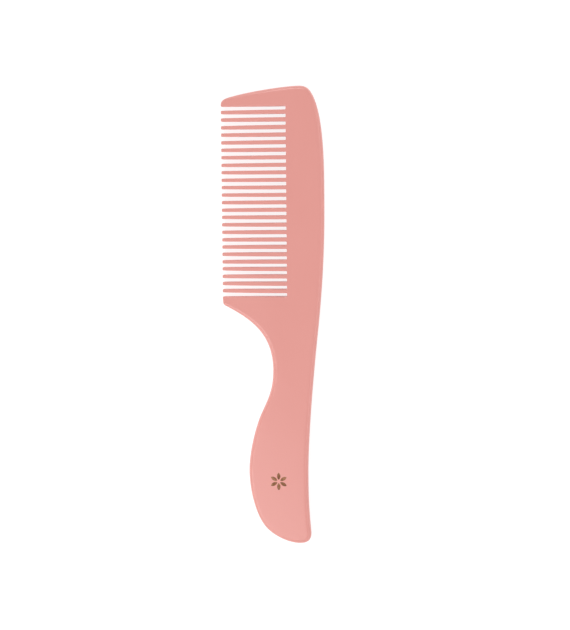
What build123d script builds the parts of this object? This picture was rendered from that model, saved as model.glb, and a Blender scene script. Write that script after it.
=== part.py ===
from build123d import *
from collections import namedtuple
from math import cos, radians, sin
import os

# Wide tooth comb with a moulded handle, lying on its flat face.
# X runs from the head end to the tail of the handle, Y from the tooth tips to the back, and Z up
# through the thickness. The origin is the bottom centre of the comb's box. Millimetres and degrees.

# Driving dimensions
LENGTH = 195.0
WIDTH = 43.3
THICKNESS = 4.2
TIP_THICKNESS = 2.4
RIM_RADIUS = 1.0

TOOTH_COUNT = 25
TOOTH_PITCH = 3.1
TOOTH_ROOT_WIDTH = 1.65
TOOTH_TIP_WIDTH = 1.4
TOOTH_EDGE_RADIUS = 0.25
ROOT_CORNER_RADIUS = 0.3
FIRST_TOOTH_X = -87.05
ROOT_Y = 5.9
SEAM_SETBACK = 0.6
RELIEF_SETBACK = 1.0
RELIEF_TURN = 110

FOIL_PETALS = 6
FOIL_CENTRE = (69.7, 1.6)
FOIL_INNER_RADIUS = 0.7
FOIL_OUTER_RADIUS = 3.9
FOIL_PETAL_WIDTH = 1.5
FOIL_THICKNESS = 0.1
FOIL_POCKET_DEPTH = 0.12

# Worked out from the driving dimensions
HEAD_END_X = -LENGTH / 2
TAIL_X = LENGTH / 2
TIP_Y = -WIDTH / 2
BACK_Y = WIDTH / 2
TIP_DROP = (THICKNESS - TIP_THICKNESS) / 2
TOOTH_SPACE = TOOTH_PITCH - TOOTH_ROOT_WIDTH
GAP_CENTRES = [FIRST_TOOTH_X + (i - 0.5) * TOOTH_PITCH for i in range(TOOTH_COUNT + 1)]
HEEL_X = GAP_CENTRES[-1] + TOOTH_PITCH / 2

# The teeth and guards meet the spine just outside the rounded inner corners of the gaps. The faces
# stay flat until just beyond that seam, so the thinning lies wholly in the teeth and guards.
SEAM_Y = ROOT_Y - SEAM_SETBACK
RELIEF_Y = ROOT_Y - RELIEF_SETBACK

# How far cutters stand clear of the comb, and how far off a direction or a place may be and still
# count as exact.
MARGIN = 5.0
SLACK = 0.01

# The planform, anticlockwise from the head end of the tip line. The outline passes each station in
# the direction of its heading, and reach_in and reach_out are the lengths of its Bezier handles.
Station = namedtuple("Station", "x y heading reach_in reach_out")
TIP_LINE_START = Station(-90.4, -21.2, -0.3, 1.8, 0)
TIP_LINE_END = Station(-7.8, TIP_Y, -0.3, 0, 0.6)
UNDER_GUARD = Station(-6.35, -20.75, 62.8, 0.6, 13.0)
NECK = Station(21.2, -0.5, 0, 15.2, 8.5)
GRIP_FLANK = Station(40.4, -5.8, -24.5, 7.3, 5.3)
BELLY = Station(65.7, -11.3, 0, 8.9, 8.7)
TAIL_CURVE = Station(92.0, -3.0, 48.8, 7.4, 4.5)
TAIL_END = Station(TAIL_X, 10.5, 90, 5.0, 3.2)
TAIL_CORNER = Station(92.3, 15.4, 185.2, 3.9, 10.0)
WAIST = Station(66.5, 14.3, 180, 9.4, 15.8)
BACK_FLANK = Station(5.2, 18.7, 173.8, 18.3, 16.9)
CREST = Station(-46.3, BACK_Y, 180, 17.6, 15.9)
SHOULDER = Station(-95.0, 16.2, 212.7, 10.8, 1.7)
HEAD_END = Station(HEAD_END_X, 11.5, 270, 2.4, 6.3)
HEAD_CORNER = Station(-93.2, -18.0, 285.3, 8.7, 1.7)
OUTLINE = [
    TIP_LINE_START, TIP_LINE_END, UNDER_GUARD, NECK, GRIP_FLANK, BELLY, TAIL_CURVE, TAIL_END,
    TAIL_CORNER, WAIST, BACK_FLANK, CREST, SHOULDER, HEAD_END, HEAD_CORNER,
]


def handle_point(station, reach):
    """The point that lies reach ahead of a station along its heading."""
    angle = radians(station.heading)
    return (station.x + reach * cos(angle), station.y + reach * sin(angle))


def outline_edge(start, end):
    """One stretch of the planform: a straight line where neither end has a handle, else a curve."""
    if not start.reach_out and not end.reach_in:
        return Line((start.x, start.y), (end.x, end.y))
    return Bezier(
        (start.x, start.y),
        handle_point(start, start.reach_out),
        handle_point(end, -end.reach_in),
        (end.x, end.y),
    )


def plate():
    """The whole planform at full thickness, with no teeth cut."""
    following = OUTLINE[1:] + OUTLINE[:1]
    edges = [outline_edge(start, end) for start, end in zip(OUTLINE, following)]
    return extrude(make_face(edges), THICKNESS)


def relief_profile():
    """In the Y-Z plane, what is taken off the top face between the teeth's roots and their tips.

    The cut starts tangent to the face and is TIP_DROP deep at the tips.
    """
    start = (RELIEF_Y, THICKNESS)
    end = (TIP_Y, THICKNESS - TIP_DROP)
    ceiling = THICKNESS + MARGIN
    sides = Polyline(end, (TIP_Y, ceiling), (RELIEF_Y, ceiling), start)
    return Plane.YZ * make_face([TangentArc(start, end, tangent=(-1, 0)), sides])


def top_relief():
    """The thinning of the top face: straight along the teeth, then turned about the heel guard's
    tip so that it fades out into the handle."""
    profile = relief_profile()
    head = Pos(HEEL_X, 0, 0) * extrude(profile, HEEL_X - HEAD_END_X + MARGIN, dir=(-1, 0, 0))
    turning_axis = Axis((HEEL_X, TIP_Y, 0), (0, 0, -1))
    heel = revolve(Pos(HEEL_X, 0, 0) * profile, axis=turning_axis, revolution_arc=RELIEF_TURN)
    return head, heel


def mirrored(shape):
    """The same cut on the underside."""
    return mirror(shape, about=Plane.XY.offset(THICKNESS / 2))


def is_upright(face):
    return abs(face.normal_at().Z) < SLACK


def is_vertical(edge):
    return abs(edge.tangent_at(0.5).Z) > 1 - SLACK


def rounded_blank():
    """The comb without teeth: thinned towards the tips and rounded all round its rim."""
    blank = plate()
    for cutter in top_relief():
        blank = blank - cutter - mirrored(cutter)
    rim = ShapeList()
    for face in blank.faces().filter_by(is_upright):
        rim += face.edges().filter_by(is_vertical, reverse=True)
    return fillet(rim, RIM_RADIUS)


def gap(centre_x):
    """The space between two teeth, wider at the tips, with rounded inner corners."""
    root_half = TOOTH_SPACE / 2
    tip_half = (TOOTH_PITCH - TOOTH_TIP_WIDTH) / 2
    mouth_y = TIP_Y - MARGIN
    left = TangentArc((-root_half, ROOT_Y), (-tip_half, TIP_Y), tangent=(0, -1))
    right = TangentArc((root_half, ROOT_Y), (tip_half, TIP_Y), tangent=(0, -1))
    mouth = Polyline((-tip_half, TIP_Y), (-tip_half, mouth_y), (tip_half, mouth_y), (tip_half, TIP_Y))
    root = Line((-root_half, ROOT_Y), (root_half, ROOT_Y))
    space = make_face([left, right, mouth, root])
    space = fillet(space.vertices().group_by(Axis.Y)[-1], ROOT_CORNER_RADIUS)
    return Pos(centre_x, 0, -MARGIN) * extrude(space, THICKNESS + 2 * MARGIN)


def gap_rim(comb, centre_x):
    """The closed loop of edges round the walls of one gap, over the tips of the teeth beside it."""
    reach = TOOTH_PITCH - TOOTH_TIP_WIDTH
    walls = comb.faces().filter_by(is_upright).filter_by_position(
        Axis.X, centre_x - reach / 2, centre_x + reach / 2
    )
    loop = ShapeList()
    for wall in walls.filter_by_position(Axis.Y, TIP_Y / 2, ROOT_Y + SLACK):
        loop += wall.edges().filter_by(lambda edge: not is_vertical(edge) or edge.center().Y < 0)
    return loop


def moulding():
    """The whole comb in one piece: the rounded blank with its gaps cut and their edges softened."""
    comb = rounded_blank() - [gap(x) for x in GAP_CENTRES]
    rims = ShapeList()
    for x in GAP_CENTRES:
        rims += gap_rim(comb, x)
    return fillet(rims, TOOTH_EDGE_RADIUS)


def block(x_range, y_range):
    """A box through the whole thickness, between two X values and two Y values."""
    size = [high - low for low, high in (x_range, y_range)]
    middle = [(low + high) / 2 for low, high in (x_range, y_range)]
    return Pos(*middle, THICKNESS / 2) * Box(*size, THICKNESS + 2 * MARGIN)


def heel_disc():
    """The round boundary between the heel guard and the handle, centred on the guard's tip."""
    return Pos(HEEL_X, TIP_Y, THICKNESS / 2) * Cylinder(SEAM_Y - TIP_Y, THICKNESS + 2 * MARGIN)


def petal(angle):
    """One leaf-shaped petal of the foil mark, pointing outwards from the mark's centre."""
    half = FOIL_PETAL_WIDTH / 2
    middle = (FOIL_INNER_RADIUS + FOIL_OUTER_RADIUS) / 2
    ends = (FOIL_INNER_RADIUS, 0), (FOIL_OUTER_RADIUS, 0)
    sides = [ThreePointArc(ends[0], (middle, side), ends[1]) for side in (half, -half)]
    return Rot(0, 0, angle) * make_face(sides)


def foil_flower(thickness):
    """The generic mark: petals in a ring, standing on Z 0."""
    turn = 360 / FOIL_PETALS
    return [extrude(petal(i * turn), thickness) for i in range(FOIL_PETALS)]


def nodes():
    """Every named piece, cut face to face from the moulding, and the foil let into the handle."""
    comb = moulding()
    ahead, behind = HEAD_END_X - MARGIN, TAIL_X + MARGIN
    below, above = TIP_Y - MARGIN, BACK_Y + MARGIN
    tooth_side, back_side = (below, SEAM_Y), (SEAM_Y, above)
    disc = heel_disc() & block((HEEL_X, behind), (below, above))
    pocket_floor = Pos(*FOIL_CENTRE, THICKNESS - FOIL_POCKET_DEPTH)

    found = {
        "spine": comb & block((ahead, HEEL_X), back_side),
        "head_end_guard": comb & block((ahead, GAP_CENTRES[0]), tooth_side),
        "heel_end_guard": comb & (block((GAP_CENTRES[-1], HEEL_X), tooth_side) + disc),
    }
    handle = comb & block((HEEL_X, behind), (below, above))
    found["handle"] = handle - disc - [pocket_floor * leaf for leaf in foil_flower(MARGIN)]
    for number, (near, far) in enumerate(zip(GAP_CENTRES, GAP_CENTRES[1:]), start=1):
        found[f"tooth_{number:02d}"] = comb & block((near, far), tooth_side)
    found["foil_mark"] = Compound([pocket_floor * leaf for leaf in foil_flower(FOIL_THICKNESS)])
    return found


os.makedirs("parts", exist_ok=True)
for name, shape in nodes().items():
    export_step(shape, f"parts/{name}.step")
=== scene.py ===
import math
import random
from collections import defaultdict, namedtuple

import bpy
from mathutils import Matrix, Vector
from mathutils.geometry import delaunay_2d_cdt


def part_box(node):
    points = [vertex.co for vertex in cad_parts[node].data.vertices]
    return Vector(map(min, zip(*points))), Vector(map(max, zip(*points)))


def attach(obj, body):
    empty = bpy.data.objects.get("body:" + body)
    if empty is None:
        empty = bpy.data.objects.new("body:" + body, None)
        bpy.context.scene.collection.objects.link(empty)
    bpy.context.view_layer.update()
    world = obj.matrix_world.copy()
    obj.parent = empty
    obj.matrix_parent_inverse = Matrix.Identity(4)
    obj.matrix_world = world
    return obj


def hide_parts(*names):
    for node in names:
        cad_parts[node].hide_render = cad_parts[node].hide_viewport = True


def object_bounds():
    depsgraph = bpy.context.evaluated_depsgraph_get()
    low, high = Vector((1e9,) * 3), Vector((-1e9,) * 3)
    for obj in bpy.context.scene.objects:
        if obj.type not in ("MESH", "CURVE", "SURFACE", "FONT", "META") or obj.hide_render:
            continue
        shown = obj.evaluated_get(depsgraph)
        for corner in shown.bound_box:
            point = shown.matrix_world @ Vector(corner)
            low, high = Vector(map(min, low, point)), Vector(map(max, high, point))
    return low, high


# The looks of a wide tooth comb with a moulded handle, lying on its flat face. X runs from the head
# end to the tail of the handle, Y from the tooth tips to the back, and Z up through the thickness.
# Shapes are worked out in millimetres and made in metres.

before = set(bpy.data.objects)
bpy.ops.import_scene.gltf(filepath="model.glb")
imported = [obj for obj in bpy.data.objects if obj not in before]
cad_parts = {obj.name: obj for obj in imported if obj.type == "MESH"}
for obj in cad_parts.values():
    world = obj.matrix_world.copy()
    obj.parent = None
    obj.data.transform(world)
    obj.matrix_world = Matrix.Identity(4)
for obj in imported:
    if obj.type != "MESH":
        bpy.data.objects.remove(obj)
cad_low, cad_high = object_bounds()

MM = 0.001


def box_mm(node):
    """Lowest and highest corner of a CAD node, in millimetres."""
    low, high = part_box(node)
    return low / MM, high / MM


# ---------------------------------------------------------------- sizes, from the frame

TEETH = sorted(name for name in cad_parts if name.startswith("tooth_"))
FIRST_LOW, FIRST_HIGH = box_mm(TEETH[0])
LAST_LOW, _ = box_mm(TEETH[-1])
_, SPINE_HIGH = box_mm("spine")
FOIL_LOW, FOIL_HIGH = box_mm("foil_mark")
TIP_Y = cad_low.y / MM
BACK_Y = cad_high.y / MM
HEAD_END_X = cad_low.x / MM
TAIL_X = cad_high.x / MM
THICKNESS = cad_high.z / MM
SEAM_Y = FIRST_HIGH.y
HEEL_X = SPINE_HIGH.x
TOOTH_ROOT_WIDTH = FIRST_HIGH.x - FIRST_LOW.x
FIRST_TOOTH_X = (FIRST_LOW.x + FIRST_HIGH.x) / 2
TOOTH_PITCH = (LAST_LOW.x - FIRST_LOW.x) / (len(TEETH) - 1)
GAP_CENTRES = [FIRST_TOOTH_X + (i - 0.5) * TOOTH_PITCH for i in range(len(TEETH) + 1)]
FOIL_CENTRE = (FOIL_LOW + FOIL_HIGH) / 2

# ---------------------------------------------------------------- sizes that the frame doesn't give

# The teeth: where the gaps end, where the thinning towards the tips starts, the width at the tips,
# how far each face has dropped there, and the corner radii of a gap in plan.
ROOT_Y = 5.9
RELIEF_Y = 4.9
TOOTH_TIP_WIDTH = 1.4
TIP_DROP = 0.9
ROOT_CORNER = 0.3
TIP_CORNER = 0.35

# How far a tooth's tip may stray sideways.
TIP_WANDER = 0.09
WANDER_SEED = 7

# The rim. Its rounding takes TOOTH_EDGE off the face and off the side in the gaps, TOOTH_EDGE off
# the face and NOSE_ROUND of half the thickness off the side at the tips, and FULL_ROUND of half the
# thickness off both all round the rest. The tips' rounding runs on along the guards for NOSE_RUN,
# in the band next to the tip line. One kind fades into the next over BLEND_RUN to each side, and a
# rim reaches in by no more than CORNER_SHARE of the radius of an outward corner.
TOOTH_EDGE = 0.3
NOSE_ROUND = 0.45
FULL_ROUND = 0.93
NOSE_RUN = 1.6
TIP_LINE_BAND = 1.0
BLEND_RUN = 1.2
CORNER_SHARE = 0.8

# How fine the mesh is: steps along the outline, in millimetres and degrees, steps round a corner,
# up the side of a gap and across the rim, and how far the free points over the guards' faces are
# apart and clear of everything else.
OUTLINE_STEP = 0.9
TURN_STEP = 7.0
FEWEST_CURVE_STEPS = 3
FEWEST_TIP_LINE_STEPS = 2
ARC_STEPS = 5
WALL_STEPS = 16
PROFILE_STEPS = 6
GRID_STEP = 2.0
GRID_CLEARANCE = 0.7

# How near two points count as one, in millimetres and in the digits that are compared, and how
# often a stretch of the outline is halved to find where it crosses a seam.
SAME_POINT = 1e-4
SAME_CORNER = 1e-5
KEY_DIGITS = 6
SEAM_HALVINGS = 30

# The foil mark's petals and the pocket that they lie in.
FOIL_PETALS = 6
FOIL_INNER_RADIUS = 0.7
FOIL_OUTER_RADIUS = 3.9
FOIL_PETAL_WIDTH = 1.5
FOIL_POCKET_DEPTH = 0.12
PETAL_STEPS = 10

# The planform, anticlockwise. The outline passes each station in the direction of its heading, and
# reach_in and reach_out are the lengths of its Bezier handles.
Station = namedtuple("Station", "x y heading reach_in reach_out")
TIP_LINE_START = Station(-90.4, -21.2, -0.3, 1.8, 0)
TIP_LINE_END = Station(-7.8, TIP_Y, -0.3, 0, 0.6)
UNDER_GUARD = Station(-6.35, -20.75, 62.8, 0.6, 13.0)
NECK = Station(21.2, -0.5, 0, 15.2, 8.5)
GRIP_FLANK = Station(40.4, -5.8, -24.5, 7.3, 5.3)
BELLY = Station(65.7, -11.3, 0, 8.9, 8.7)
TAIL_CURVE = Station(92.0, -3.0, 48.8, 7.4, 4.5)
TAIL_END = Station(TAIL_X, 10.5, 90, 5.0, 3.2)
TAIL_CORNER = Station(92.3, 15.4, 185.2, 3.9, 10.0)
WAIST = Station(66.5, 14.3, 180, 9.4, 15.8)
BACK_FLANK = Station(5.2, 18.7, 173.8, 18.3, 16.9)
CREST = Station(-46.3, BACK_Y, 180, 17.6, 15.9)
SHOULDER = Station(-95.0, 16.2, 212.7, 10.8, 1.7)
HEAD_END = Station(HEAD_END_X, 11.5, 270, 2.4, 6.3)
HEAD_CORNER = Station(-93.2, -18.0, 285.3, 8.7, 1.7)
CURVED_STATIONS = [
    TIP_LINE_END, UNDER_GUARD, NECK, GRIP_FLANK, BELLY, TAIL_CURVE, TAIL_END, TAIL_CORNER, WAIST,
    BACK_FLANK, CREST, SHOULDER, HEAD_END, HEAD_CORNER, TIP_LINE_START,
]

# ---------------------------------------------------------------- the outline, teeth included

OUTER, GAP, NOSE = "outer", "gap", "nose"


def handle_point(station, reach):
    """The point this far from a station along its heading, or behind it if reach is negative."""
    angle = math.radians(station.heading)
    return Vector((station.x + reach * math.cos(angle), station.y + reach * math.sin(angle)))


def bezier(start, end):
    """Points along one curved stretch of the outline, without its end point."""
    a, d = Vector((start.x, start.y)), Vector((end.x, end.y))
    b, c = handle_point(start, start.reach_out), handle_point(end, -end.reach_in)
    turn = abs((end.heading - start.heading + 180) % 360 - 180)
    count = max(FEWEST_CURVE_STEPS, round((d - a).length / OUTLINE_STEP), round(turn / TURN_STEP))
    for i in range(count):
        t = i / count
        u = 1 - t
        yield u**3 * a + 3 * u * u * t * b + 3 * u * t * t * c + t**3 * d


def tip_line_y(x):
    """The Y of the line that the tooth tips stand on."""
    start, end = TIP_LINE_START, TIP_LINE_END
    return start.y + (end.y - start.y) * (x - start.x) / (end.x - start.x)


def half_gap(y):
    """Half the width of a gap at this Y: widest at the tips."""
    root = (TOOTH_PITCH - TOOTH_ROOT_WIDTH) / 2
    tip = (TOOTH_PITCH - TOOTH_TIP_WIDTH) / 2
    return root + (tip - root) * ((ROOT_Y - y) / (ROOT_Y - TIP_Y)) ** 2


def corner(centre, radius, start, end):
    """A rounded corner: points on an arc from one angle to another, ends included."""
    for i in range(ARC_STEPS + 1):
        angle = math.radians(start + (end - start) * i / ARC_STEPS)
        yield Vector((centre[0] + radius * math.cos(angle), centre[1] + radius * math.sin(angle)))


def gap_path(centre_x):
    """The outline's way up one side of a gap, along its root and down the other side.

    Gives (point, kind) pairs.
    """
    left, right = [], []
    mouth = half_gap(TIP_Y)
    for side, path in ((-1, left), (1, right)):
        edge = centre_x + side * mouth
        tip = tip_line_y(edge)
        bend = (-90, 0) if side < 0 else (270, 180)
        points = list(corner((edge + side * TIP_CORNER, tip + TIP_CORNER), TIP_CORNER, *bend))
        path += [(p, NOSE) for p in points]
        low, high = tip + TIP_CORNER, ROOT_Y - ROOT_CORNER
        for i in range(1, WALL_STEPS):
            y = low + (high - low) * i / WALL_STEPS
            path.append((Vector((centre_x + side * half_gap(y), y)), GAP))
        root = centre_x + side * (half_gap(ROOT_Y) - ROOT_CORNER)
        bend = (180, 90) if side < 0 else (0, 90)
        path += [(p, GAP) for p in corner((root, ROOT_Y - ROOT_CORNER), ROOT_CORNER, *bend)]
    return left + right[::-1]


def near_gap(point):
    """Whether a point on a guard's tip line is so near a gap that its rim has a tooth's nose."""
    reach = half_gap(TIP_Y) + NOSE_RUN
    beside = GAP_CENTRES[0] - reach < point.x < GAP_CENTRES[-1] + reach
    return beside and point.y < TIP_Y + TIP_LINE_BAND


def tip_stretch(start_x, end_x):
    """Points along the tip line of a guard, without its ends."""
    count = max(FEWEST_TIP_LINE_STEPS, round((end_x - start_x) / (OUTLINE_STEP / 2)))
    for i in range(count):
        x = start_x + (end_x - start_x) * i / count
        yield Vector((x, tip_line_y(x)))


def outline():
    """The whole closed outline as (point, kind) pairs, anticlockwise from the heel guard's tip."""
    path = []
    for start, end in zip(CURVED_STATIONS, CURVED_STATIONS[1:]):
        path += [(p, OUTER) for p in bezier(start, end)]
    first_edge = GAP_CENTRES[0] - half_gap(TIP_Y) - TIP_CORNER
    last_edge = GAP_CENTRES[-1] + half_gap(TIP_Y) + TIP_CORNER
    path += [(p, OUTER) for p in tip_stretch(TIP_LINE_START.x, first_edge)]
    for x in GAP_CENTRES:
        path += gap_path(x)
    path += [(p, OUTER) for p in list(tip_stretch(last_edge, TIP_LINE_END.x))[1:]]
    return [(p, NOSE if kind == OUTER and near_gap(p) else kind) for p, kind in path]


def piece_at(p):
    """The name of the CAD node that a point of the planform belongs to."""
    if p.x > HEEL_X:
        heel = (p - Vector((HEEL_X, TIP_Y))).length < SEAM_Y - TIP_Y
        return "heel_end_guard" if heel else "handle"
    if p.y > SEAM_Y:
        return "spine"
    if p.x < GAP_CENTRES[0]:
        return "head_end_guard"
    if p.x > GAP_CENTRES[-1]:
        return "heel_end_guard"
    return TEETH[min(len(TEETH) - 1, int((p.x - GAP_CENTRES[0]) / TOOTH_PITCH))]


def seam_point(a, b):
    """Where the straight way from a to b passes from one piece to the next."""
    here = piece_at(a)
    for _ in range(SEAM_HALVINGS):
        middle = (a + b) / 2
        if piece_at(middle) == here:
            a = middle
        else:
            b = middle
    return b


# A point of the outline, the kind of its rim, the pair of pieces whose seam it lies on if it lies on
# one, and the piece that follows it.
Sample = namedtuple("Sample", "point kind seam piece")


def samples():
    """The outline with an extra point wherever it crosses a seam."""
    path = outline()
    found = []
    for (a, kind), (b, _) in zip(path, path[1:] + path[:1]):
        before, after = piece_at(a), piece_at(b)
        if (b - a).length < SAME_POINT:
            continue
        found.append(Sample(a, kind, None, before))
        if before != after:
            found.append(Sample(seam_point(a, b), kind, frozenset((before, after)), after))
    return found


# ---------------------------------------------------------------- thickness and rim


def thinning(p):
    """How much the face drops at a point, and the upward normal of the face there."""
    run = RELIEF_Y - TIP_Y
    if p.x > HEEL_X:
        offset = p - Vector((HEEL_X, TIP_Y))
        into = run - offset.length
        away = -offset.normalized() if offset.length else Vector((0, -1))
    else:
        into, away = RELIEF_Y - p.y, Vector((0, -1))
    share = min(max(into / run, 0), 1)
    slope = 2 * TIP_DROP * share / run
    return TIP_DROP * share**2, Vector((away.x * slope, away.y * slope, 1)).normalized()


def inward_normals(points):
    """Unit normals that point into the comb, one for each point of the closed outline."""
    normals = []
    for i, p in enumerate(points):
        along = (p - points[i - 1]).normalized() + (points[(i + 1) % len(points)] - p).normalized()
        normals.append(Vector((-along.y, along.x)).normalized())
    return normals


def wanted_rim(sample):
    """How far the rounding of a rim reaches in over the face, and how far down its side."""
    half = THICKNESS / 2 - thinning(sample.point)[0]
    if sample.kind == GAP:
        return TOOTH_EDGE, TOOTH_EDGE
    if sample.kind == NOSE:
        return TOOTH_EDGE, NOSE_ROUND * half
    return FULL_ROUND * half, FULL_ROUND * half


def blended(values, lengths):
    """Values averaged over BLEND_RUN to each side, along a closed loop of edges of these lengths."""
    count, result = len(values), []
    for i in range(count):
        total, weight = values[i], 1.0
        for step in (-1, 1):
            j, run = i, 0.0
            while run < BLEND_RUN:
                run += lengths[j if step > 0 else j - 1]
                j = (j + step) % count
                share = max(0.0, 1 - run / BLEND_RUN)
                total += values[j] * share
                weight += share
        result.append(total / weight)
    return result


def rims(path):
    """The reach and the drop of the rim at every sample, blended where one kind meets the next."""
    points = [s.point for s in path]
    count = len(points)
    lengths = [(points[(i + 1) % count] - points[i]).length for i in range(count)]
    wanted = [wanted_rim(s) for s in path]
    reaches = blended([w[0] for w in wanted], lengths)
    drops = blended([w[1] for w in wanted], lengths)
    for i in range(count):
        before, after = points[i] - points[i - 1], points[(i + 1) % count] - points[i]
        turn = math.atan2(before.cross(after), before.dot(after))
        if turn > 0:
            radius = (before.length + after.length) / 2 / turn
            reaches[i] = min(reaches[i], CORNER_SHARE * radius)
    return reaches, drops


# ---------------------------------------------------------------- the skin of the whole comb


class Skin:
    """Vertices with their normals, and faces sorted by the piece that they belong to.

    Only the top half is worked out: its vertices, and the faces that the underside shares, get
    their twins as they are added. A flat face takes its own normal instead of its vertices'.
    """

    def __init__(self):
        self.points, self.normals, self.twins = [], [], {}
        self.faces = defaultdict(list)
        self.flat = defaultdict(list)

    def add(self, x, y, height, normal):
        """A vertex at this height above the mid plane, and its twin below. Gives its number."""
        number = len(self.points)
        for side in (1, -1):
            self.points.append(Vector((x, y, THICKNESS / 2 + side * height)))
            self.normals.append(Vector((normal.x, normal.y, side * normal.z)))
        self.twins[number] = number + 1
        return number

    def face(self, piece, numbers):
        """A face of the top half, and its twin."""
        self.faces[piece].append(tuple(numbers))
        self.faces[piece].append(tuple(self.twins[n] for n in reversed(numbers)))

    def one_face(self, piece, numbers):
        """A smooth face without a twin."""
        self.faces[piece].append(tuple(numbers))

    def flat_face(self, piece, numbers):
        """A flat face without a twin."""
        self.flat[piece].append(tuple(numbers))


def petal_outline(turn):
    """One leaf-shaped petal of the foil mark: two arcs through its ends and its widest point."""
    middle = (FOIL_INNER_RADIUS + FOIL_OUTER_RADIUS) / 2
    chord, bulge = (FOIL_OUTER_RADIUS - FOIL_INNER_RADIUS) / 2, FOIL_PETAL_WIDTH / 2
    radius = (chord**2 + bulge**2) / (2 * bulge)
    sweep = math.asin(chord / radius)
    cos_turn, sin_turn = math.cos(turn), math.sin(turn)
    points = []
    for side in (-1, 1):
        for i in range(PETAL_STEPS):
            angle = sweep * (2 * i / PETAL_STEPS - 1) * -side
            x, y = middle + radius * math.sin(angle), side * (radius * math.cos(angle) - radius + bulge)
            points.append(Vector((
                FOIL_CENTRE.x + x * cos_turn - y * sin_turn,
                FOIL_CENTRE.y + x * sin_turn + y * cos_turn,
            )))
    return points


def seam_lines(path, inner):
    """The seams across the face, as lists of inner rim numbers and of free points between them."""
    crossings = defaultdict(list)
    for number, sample in enumerate(path):
        if sample.seam:
            crossings[sample.seam].append(number)
    knee = Vector((HEEL_X, SEAM_Y))
    lines = []
    for seam, numbers in crossings.items():
        if len(numbers) == 2:
            lines.append(numbers)
        elif seam == {"heel_end_guard", "handle"}:
            lines.append([knee, *heel_arc(inner[numbers[0]]), numbers[0]])
        else:
            lines.append([numbers[0], knee])
    return lines


def heel_arc(end):
    """Points on the round seam between the heel guard and the handle, short of its end."""
    centre = Vector((HEEL_X, TIP_Y))
    towards = end - centre
    last = math.atan2(towards.y, towards.x)
    count = round((math.pi / 2 - last) * (SEAM_Y - TIP_Y) / GRID_STEP)
    for i in range(1, count):
        angle = math.pi / 2 + (last - math.pi / 2) * i / count
        yield centre + (SEAM_Y - TIP_Y) * Vector((math.cos(angle), math.sin(angle)))


def inside(p, polygon):
    """Whether a point is inside a closed polygon."""
    odd = False
    for a, b in zip(polygon, polygon[1:] + polygon[:1]):
        if (a.y > p.y) != (b.y > p.y) and p.x < a.x + (b.x - a.x) * (p.y - a.y) / (b.y - a.y):
            odd = not odd
    return odd


def grid_points(polygon, taken):
    """Free points over the thinned faces of the two guards, clear of everything placed already."""
    spans = (HEAD_END_X, GAP_CENTRES[0]), (GAP_CENTRES[-1], UNDER_GUARD.x + SEAM_Y - TIP_Y)
    found = []
    for low, high in spans:
        for column in range(round((high - low) / GRID_STEP)):
            for row in range(round((RELIEF_Y - TIP_Y) / GRID_STEP) + 1):
                p = Vector((low + (column + 0.5) * GRID_STEP, RELIEF_Y - row * GRID_STEP))
                clear = all((p - other).length > GRID_CLEARANCE for other in taken)
                if clear and inside(p, polygon):
                    found.append(p)
    return found


def add_rim(skin, path, inner, normals, reaches, drops):
    """The rounded rim, from the parting line up to the face. Gives the numbers of its top row."""
    columns = []
    for i, sample in enumerate(path):
        drop, face_normal = thinning(inner[i])
        base = THICKNESS / 2 - drop - drops[i]
        column = []
        for k in range(PROFILE_STEPS + 1):
            angle = math.pi / 2 * k / PROFILE_STEPS
            p = sample.point + normals[i] * reaches[i] * (1 - math.cos(angle))
            outward = Vector((-normals[i].x, -normals[i].y, 0)) * drops[i] * math.cos(angle)
            normal = (outward + face_normal * reaches[i] * math.sin(angle)).normalized()
            column.append(skin.add(p.x, p.y, base + drops[i] * math.sin(angle), normal))
        columns.append(column)
    for i, sample in enumerate(path):
        here, following = columns[i], columns[(i + 1) % len(path)]
        for k in range(PROFILE_STEPS):
            skin.face(sample.piece, (here[k], following[k], following[k + 1], here[k + 1]))
        below = skin.twins[here[0]], skin.twins[following[0]]
        skin.one_face(sample.piece, (*below, following[0], here[0]))
    return [column[-1] for column in columns]


def face_regions(edges, walls, faces):
    """Groups of triangles that no wall parts from each other."""
    sharing = defaultdict(list)
    for number, face in enumerate(faces):
        for a, b in zip(face, face[1:] + face[:1]):
            sharing[frozenset((a, b))].append(number)
    blocked = {frozenset(edge) for edge, wall in zip(edges, walls) if wall}
    seen, regions = set(), []
    for start in range(len(faces)):
        if start in seen:
            continue
        region, waiting = [], [start]
        seen.add(start)
        while waiting:
            number = waiting.pop()
            region.append(number)
            face = faces[number]
            for a, b in zip(face, face[1:] + face[:1]):
                if frozenset((a, b)) in blocked:
                    continue
                for other in sharing[frozenset((a, b))]:
                    if other not in seen:
                        seen.add(other)
                        waiting.append(other)
        regions.append(region)
    return regions


def face_net(path, inner, petals):
    """The points of the face, the rim's first, and the edges that its triangles have to keep."""
    points, known = list(inner), {}
    count = len(points)
    edges = [(i, (i + 1) % count) for i in range(count)]
    for line in seam_lines(path, inner):
        numbers = []
        for item in line:
            if not isinstance(item, int):
                key = (round(item.x, KEY_DIGITS), round(item.y, KEY_DIGITS))
                if key not in known:
                    known[key] = len(points)
                    points.append(item)
                item = known[key]
            numbers.append(item)
        edges += list(zip(numbers, numbers[1:]))
    for petal in petals:
        first = len(points)
        points += petal
        edges += [(first + i, first + (i + 1) % len(petal)) for i in range(len(petal))]
    points += grid_points(inner, points[count:] + inner)
    return points, edges


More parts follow.
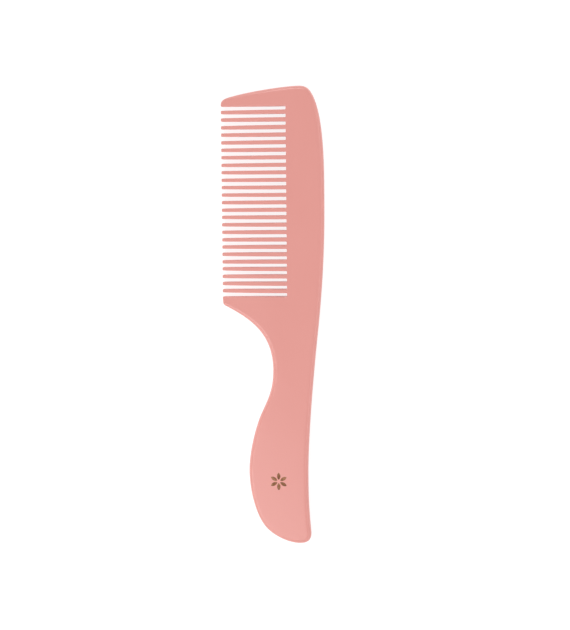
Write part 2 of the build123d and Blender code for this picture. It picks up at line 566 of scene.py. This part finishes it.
def add_faces(skin, path, inner, top_row):
    """The flat and thinned faces inside the rim, parted at the seams, with the foil's pockets."""
    petals = [petal_outline(2 * math.pi * i / FOIL_PETALS) for i in range(FOIL_PETALS)]
    points, edges = face_net(path, inner, petals)
    corners, all_edges, triangles, origins, edge_origins, _ = delaunay_2d_cdt(
        points, edges, [], 1, SAME_CORNER, True
    )
    numbers = []
    for p, origin in zip(corners, origins):
        rim = [n for n in origin if n < len(inner)]
        drop, normal = thinning(p)
        numbers.append(top_row[rim[0]] if rim else skin.add(p.x, p.y, THICKNESS / 2 - drop, normal))
    for region in face_regions(all_edges, edge_origins, triangles):
        add_region(skin, corners, [triangles[n] for n in region], numbers, inner, petals)


def twice_area(a, b, c):
    """Twice the area of a triangle, positive if it runs anticlockwise."""
    return (b - a).cross(c - a)


def add_region(skin, corners, triangles, numbers, inner, petals):
    """One region of the face: it belongs to the piece where its largest triangle lies.

    A region outside the rim is a gap or a hollow of the outline, and is left open.
    """
    def size(t):
        return abs(twice_area(*(corners[n] for n in t)))

    largest = max(triangles, key=size)
    middle = sum((corners[n] for n in largest), Vector((0, 0))) / 3
    if not inside(middle, inner):
        return
    piece = piece_at(middle)
    ordered = []
    for t in triangles:
        a, b, c = t
        ordered.append((a, b, c) if twice_area(corners[a], corners[b], corners[c]) > 0 else (a, c, b))
    if not any(inside(middle, petal) for petal in petals):
        for t in ordered:
            skin.face(piece, [numbers[n] for n in t])
        return
    add_pocket(skin, piece, ordered, numbers)


def add_pocket(skin, piece, triangles, numbers):
    """A shallow pocket in the top face: a lowered floor and its walls. The underside stays flat."""
    floor = {}
    for n in {n for t in triangles for n in t}:
        p = skin.points[numbers[n]]
        floor[n] = skin.add(p.x, p.y, THICKNESS / 2 - FOIL_POCKET_DEPTH, Vector((0, 0, 1)))
    sides = {(a, b) for t in triangles for a, b in zip(t, t[1:] + t[:1])}
    for t in triangles:
        skin.one_face(piece, [floor[n] for n in t])
        skin.one_face(piece, [skin.twins[numbers[n]] for n in reversed(t)])
    for a, b in sides:
        if (b, a) not in sides:
            skin.flat_face(piece, (floor[b], floor[a], numbers[a], numbers[b]))


def add_caps(skin, piece):
    """Closes a piece where it meets its neighbours."""
    sides = {(a, b) for f in skin.faces[piece] + skin.flat[piece] for a, b in zip(f, f[1:] + f[:1])}
    for a, b in sides:
        if (b, a) not in sides and a in skin.twins and b in skin.twins:
            skin.flat_face(piece, (b, a, skin.twins[a], skin.twins[b]))


def comb_skin():
    """The whole comb's surface, parted into the CAD nodes' pieces."""
    skin = Skin()
    path = samples()
    points = [s.point for s in path]
    normals = inward_normals(points)
    reaches, drops = rims(path)
    inner = [p + n * reach for p, n, reach in zip(points, normals, reaches)]
    top_row = add_rim(skin, path, inner, normals, reaches, drops)
    add_faces(skin, path, inner, top_row)
    for piece in list(skin.faces):
        add_caps(skin, piece)
    return skin


# ---------------------------------------------------------------- materials

NOISE_LOW, NOISE_HIGH = 0.2, 0.8


def new_material(name):
    """A material with a Principled shader. Gives its nodes, its links and the shader."""
    material = bpy.data.materials.new(name)
    material.use_nodes = True
    tree = material.node_tree
    return material, tree.nodes, tree.links, tree.nodes["Principled BSDF"]


def add_noise(nodes, links, place, scale, detail, stretch=(1, 1, 1)):
    """Noise in the object's own space, in turns per metre. A stretch below 1 draws it out."""
    mapping = nodes.new("ShaderNodeMapping")
    mapping.inputs["Scale"].default_value = stretch
    links.new(place.outputs["Object"], mapping.inputs["Vector"])
    noise = nodes.new("ShaderNodeTexNoise")
    noise.inputs["Scale"].default_value = scale
    noise.inputs["Detail"].default_value = detail
    links.new(mapping.outputs["Vector"], noise.inputs["Vector"])
    return noise


def add_ramp(nodes, links, source, stops):
    """A colour ramp over a noise, from (place, colour) stops."""
    ramp = nodes.new("ShaderNodeValToRGB")
    elements = ramp.color_ramp.elements
    for element, (place, colour) in zip(elements, (stops[0], stops[-1])):
        element.position = place
        element.color = (*colour, 1)
    for place, colour in stops[1:-1]:
        element = elements.new(place)
        element.color = (*colour, 1)
    links.new(source.outputs["Fac"], ramp.inputs["Fac"])
    return ramp


def add_range(nodes, links, source, low, high):
    """Maps the part of a noise's range that it mostly stays in to a range of values."""
    spread = nodes.new("ShaderNodeMapRange")
    spread.inputs["From Min"].default_value = NOISE_LOW
    spread.inputs["From Max"].default_value = NOISE_HIGH
    spread.inputs["To Min"].default_value = low
    spread.inputs["To Max"].default_value = high
    links.new(source.outputs["Fac"], spread.inputs["Value"])
    return spread


def add_bumps(nodes, links, shader, layers):
    """Bumps in a chain, from (noise, strength, height in metres) layers."""
    before = None
    for noise, strength, height in layers:
        bump = nodes.new("ShaderNodeBump")
        bump.inputs["Strength"].default_value = strength
        bump.inputs["Distance"].default_value = height
        links.new(noise.outputs["Fac"], bump.inputs["Height"])
        if before:
            links.new(before.outputs["Normal"], bump.inputs["Normal"])
        before = bump
    links.new(before.outputs["Normal"], shader.inputs["Normal"])


def comb_plastic():
    """Satin moulded plastic: faint clouding, a fine orange-peel surface and handling polish."""
    material, nodes, links, shader = new_material("comb plastic")
    place = nodes.new("ShaderNodeTexCoord")
    clouds = add_noise(nodes, links, place, scale=28, detail=3, stretch=(1, 1.6, 1))
    flow = add_noise(nodes, links, place, scale=260, detail=4, stretch=(0.25, 1, 1))
    polish = add_noise(nodes, links, place, scale=55, detail=4)
    peel = add_noise(nodes, links, place, scale=2600, detail=2)
    colour = add_ramp(nodes, links, clouds, (
        (0.25, (0.783, 0.326, 0.288)),
        (0.50, (0.790, 0.332, 0.294)),
        (0.75, (0.797, 0.338, 0.300)),
    ))
    links.new(colour.outputs["Color"], shader.inputs["Base Color"])
    rough = add_range(nodes, links, polish, low=0.27, high=0.31)
    links.new(rough.outputs["Result"], shader.inputs["Roughness"])
    shader.inputs["IOR"].default_value = 1.49
    add_bumps(nodes, links, shader, ((flow, 0.012, 0.0001), (peel, 0.10, 0.00002)))
    return material


def stamped_foil():
    """Brown-brass hot-stamped foil: patchy tone, fine creases and rubbed spots."""
    material, nodes, links, shader = new_material("stamped foil")
    place = nodes.new("ShaderNodeTexCoord")
    patches = add_noise(nodes, links, place, scale=900, detail=4)
    creases = add_noise(nodes, links, place, scale=4200, detail=3, stretch=(1, 0.4, 1))
    colour = add_ramp(nodes, links, patches, (
        (0.32, (0.130, 0.055, 0.024)),
        (0.50, (0.225, 0.100, 0.048)),
        (0.68, (0.380, 0.200, 0.110)),
    ))
    links.new(colour.outputs["Color"], shader.inputs["Base Color"])
    rough = add_range(nodes, links, patches, low=0.34, high=0.52)
    links.new(rough.outputs["Result"], shader.inputs["Roughness"])
    shader.inputs["Metallic"].default_value = 0.75
    add_bumps(nodes, links, shader, ((creases, 0.3, 0.00002),))
    return material


def floor_sheet():
    """White acrylic of a light table: matt, faintly mottled and lit from below."""
    material, nodes, links, shader = new_material("light table")
    place = nodes.new("ShaderNodeTexCoord")
    mottle = add_noise(nodes, links, place, scale=9, detail=2)
    colour = add_ramp(nodes, links, mottle, ((0.3, (0.23, 0.23, 0.23)), (0.7, (0.26, 0.26, 0.26))))
    links.new(colour.outputs["Color"], shader.inputs["Base Color"])
    shader.inputs["Roughness"].default_value = 0.6
    shader.inputs["Emission Color"].default_value = (1, 1, 1, 1)
    shader.inputs["Emission Strength"].default_value = FLOOR_GLOW
    return material


# ---------------------------------------------------------------- pieces


def tooth_bends():
    """How far each tooth's tip stands off its true place, in millimetres."""
    draw = random.Random(WANDER_SEED)
    return {name: draw.uniform(-TIP_WANDER, TIP_WANDER) for name in TEETH}


def bent(p, bend):
    """A point of a tooth, moved sideways more the nearer it is to the tip."""
    share = min(max((SEAM_Y - p.y) / (SEAM_Y - TIP_Y), 0), 1)
    return Vector((p.x + bend * share**2, p.y, p.z))


def make_piece(skin, piece, bend, material):
    """The mesh object that stands for one CAD node."""
    smooth, flat = skin.faces[piece], skin.flat[piece]
    used = sorted({n for f in smooth + flat for n in f})
    place = {n: i for i, n in enumerate(used)}
    mesh = bpy.data.meshes.new(f"{piece} skin")
    corners = [bent(skin.points[n], bend) * MM for n in used]
    mesh.from_pydata(corners, [], [[place[n] for n in f] for f in smooth + flat])
    mesh.polygons.foreach_set("use_smooth", [True] * len(mesh.polygons))
    normals = []
    for polygon in mesh.polygons:
        own = polygon.index >= len(smooth)
        for v in polygon.vertices:
            normals.append(polygon.normal.copy() if own else skin.normals[used[v]])
    mesh.normals_split_custom_set(normals)
    mesh.materials.append(material)
    made = bpy.data.objects.new(f"{piece}_skin", mesh)
    bpy.context.collection.objects.link(made)
    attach(made, "root")
    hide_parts(piece)


def make_comb():
    """Every plastic piece, cut from one skin and made of one material."""
    skin = comb_skin()
    bends = tooth_bends()
    material = comb_plastic()
    for piece in sorted(skin.faces):
        make_piece(skin, piece, bends.get(piece, 0.0), material)


def dress_foil():
    """The CAD foil mark keeps its shape and gets its material."""
    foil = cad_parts["foil_mark"]
    material = stamped_foil()
    for slot in foil.material_slots:
        slot.material = material


# ---------------------------------------------------------------- studio

# The floor's width in metres, and the strength of its own light.
FLOOR_SIZE = 60.0
FLOOR_GLOW = 0.84

# The world: (height, level) stops, where height is the upward part of the direction looked in, and
# the strength that multiplies the levels.
STUDIO_LEVELS = ((0.08, 1.0), (0.20, 0.285), (1.0, 0.285))
STUDIO_STRENGTH = 1.4

# The camera: metres, degrees of roll, and lens and sensor in millimetres.
CAMERA_PLACE = (-0.05854, 0.04914, 0.43833)
CAMERA_AIM = (-0.00235, 0.00474, 0.0021)
CAMERA_ROLL = -0.519
CAMERA_LENS = 65.9
CAMERA_NEAREST = 0.01
SENSOR_WIDTH = 36.0

# Soft rectangular lights: place, aim and (width, height) in metres, and power in watts.
Light = namedtuple("Light", "name place aim size power")
LIGHTS = (
    Light("key", (0.38, -0.30, 0.60), (0.05, 0, 0), (0.5, 0.5), 2.8),
    Light("side strip", (0.02, -0.7, 0.14), (0, 0, 0), (0.9, 0.15), 0.5),
    Light("head box", (-0.60, -0.02, 0.40), (-0.09, 0, 0), (0.4, 0.16), 1.25),
    Light("back box", (0.06, 0.52, 0.38), (0, 0, 0), (0.9, 0.14), 1.0),
)


def make_floor():
    """The light table that the comb lies on."""
    half = FLOOR_SIZE / 2
    corners = [(-half, -half, 0), (half, -half, 0), (half, half, 0), (-half, half, 0)]
    mesh = bpy.data.meshes.new("floor")
    mesh.from_pydata(corners, [], [(0, 1, 2, 3)])
    mesh.materials.append(floor_sheet())
    floor = bpy.data.objects.new("floor", mesh)
    bpy.context.collection.objects.link(floor)


def make_camera():
    """Above the comb, a little beyond its back and towards its head end, which is up in the picture."""
    data = bpy.data.cameras.new("camera")
    data.lens = CAMERA_LENS
    data.sensor_width = SENSOR_WIDTH
    data.sensor_fit = "HORIZONTAL"
    data.clip_start = CAMERA_NEAREST
    camera = bpy.data.objects.new("camera", data)
    place, aim = Vector(CAMERA_PLACE), Vector(CAMERA_AIM)
    back = (place - aim).normalized()
    up = Vector((-1, 0, 0))
    right = up.cross(back).normalized()
    turn = Matrix((right, back.cross(right), back)).transposed().to_4x4()
    turn = turn @ Matrix.Rotation(math.radians(CAMERA_ROLL), 4, "Z")
    camera.matrix_world = Matrix.Translation(place) @ turn
    bpy.context.collection.objects.link(camera)
    bpy.context.scene.camera = camera


def make_light(light):
    """One of the LIGHTS, turned from its place towards its aim."""
    data = bpy.data.lights.new(light.name, "AREA")
    data.shape = "RECTANGLE"
    data.size, data.size_y = light.size
    data.energy = light.power
    made = bpy.data.objects.new(light.name, data)
    made.location = light.place
    made.rotation_mode = "QUATERNION"
    made.rotation_quaternion = (Vector(light.aim) - Vector(light.place)).to_track_quat("-Z", "Y")
    bpy.context.collection.objects.link(made)


def make_world():
    """A white studio, brightest where its walls meet the floor."""
    world = bpy.data.worlds.new("studio")
    world.use_nodes = True
    nodes, links = world.node_tree.nodes, world.node_tree.links
    place = nodes.new("ShaderNodeTexCoord")
    split = nodes.new("ShaderNodeSeparateXYZ")
    height = nodes.new("ShaderNodeValToRGB")
    elements = height.color_ramp.elements
    elements.new(STUDIO_LEVELS[1][0])
    for element, (position, level) in zip(elements, STUDIO_LEVELS):
        element.position = position
        element.color = (level, level, level, 1)
    links.new(place.outputs["Generated"], split.inputs["Vector"])
    links.new(split.outputs["Z"], height.inputs["Fac"])
    background = nodes["Background"]
    links.new(height.outputs["Color"], background.inputs["Color"])
    background.inputs["Strength"].default_value = STUDIO_STRENGTH
    bpy.context.scene.world = world


def make_studio():
    """Floor, camera, world and lights. The standard view transform keeps white paper white."""
    bpy.context.scene.view_settings.view_transform = "Standard"
    make_floor()
    make_camera()
    make_world()
    for light in LIGHTS:
        make_light(light)


make_comb()
dress_foil()
make_studio()
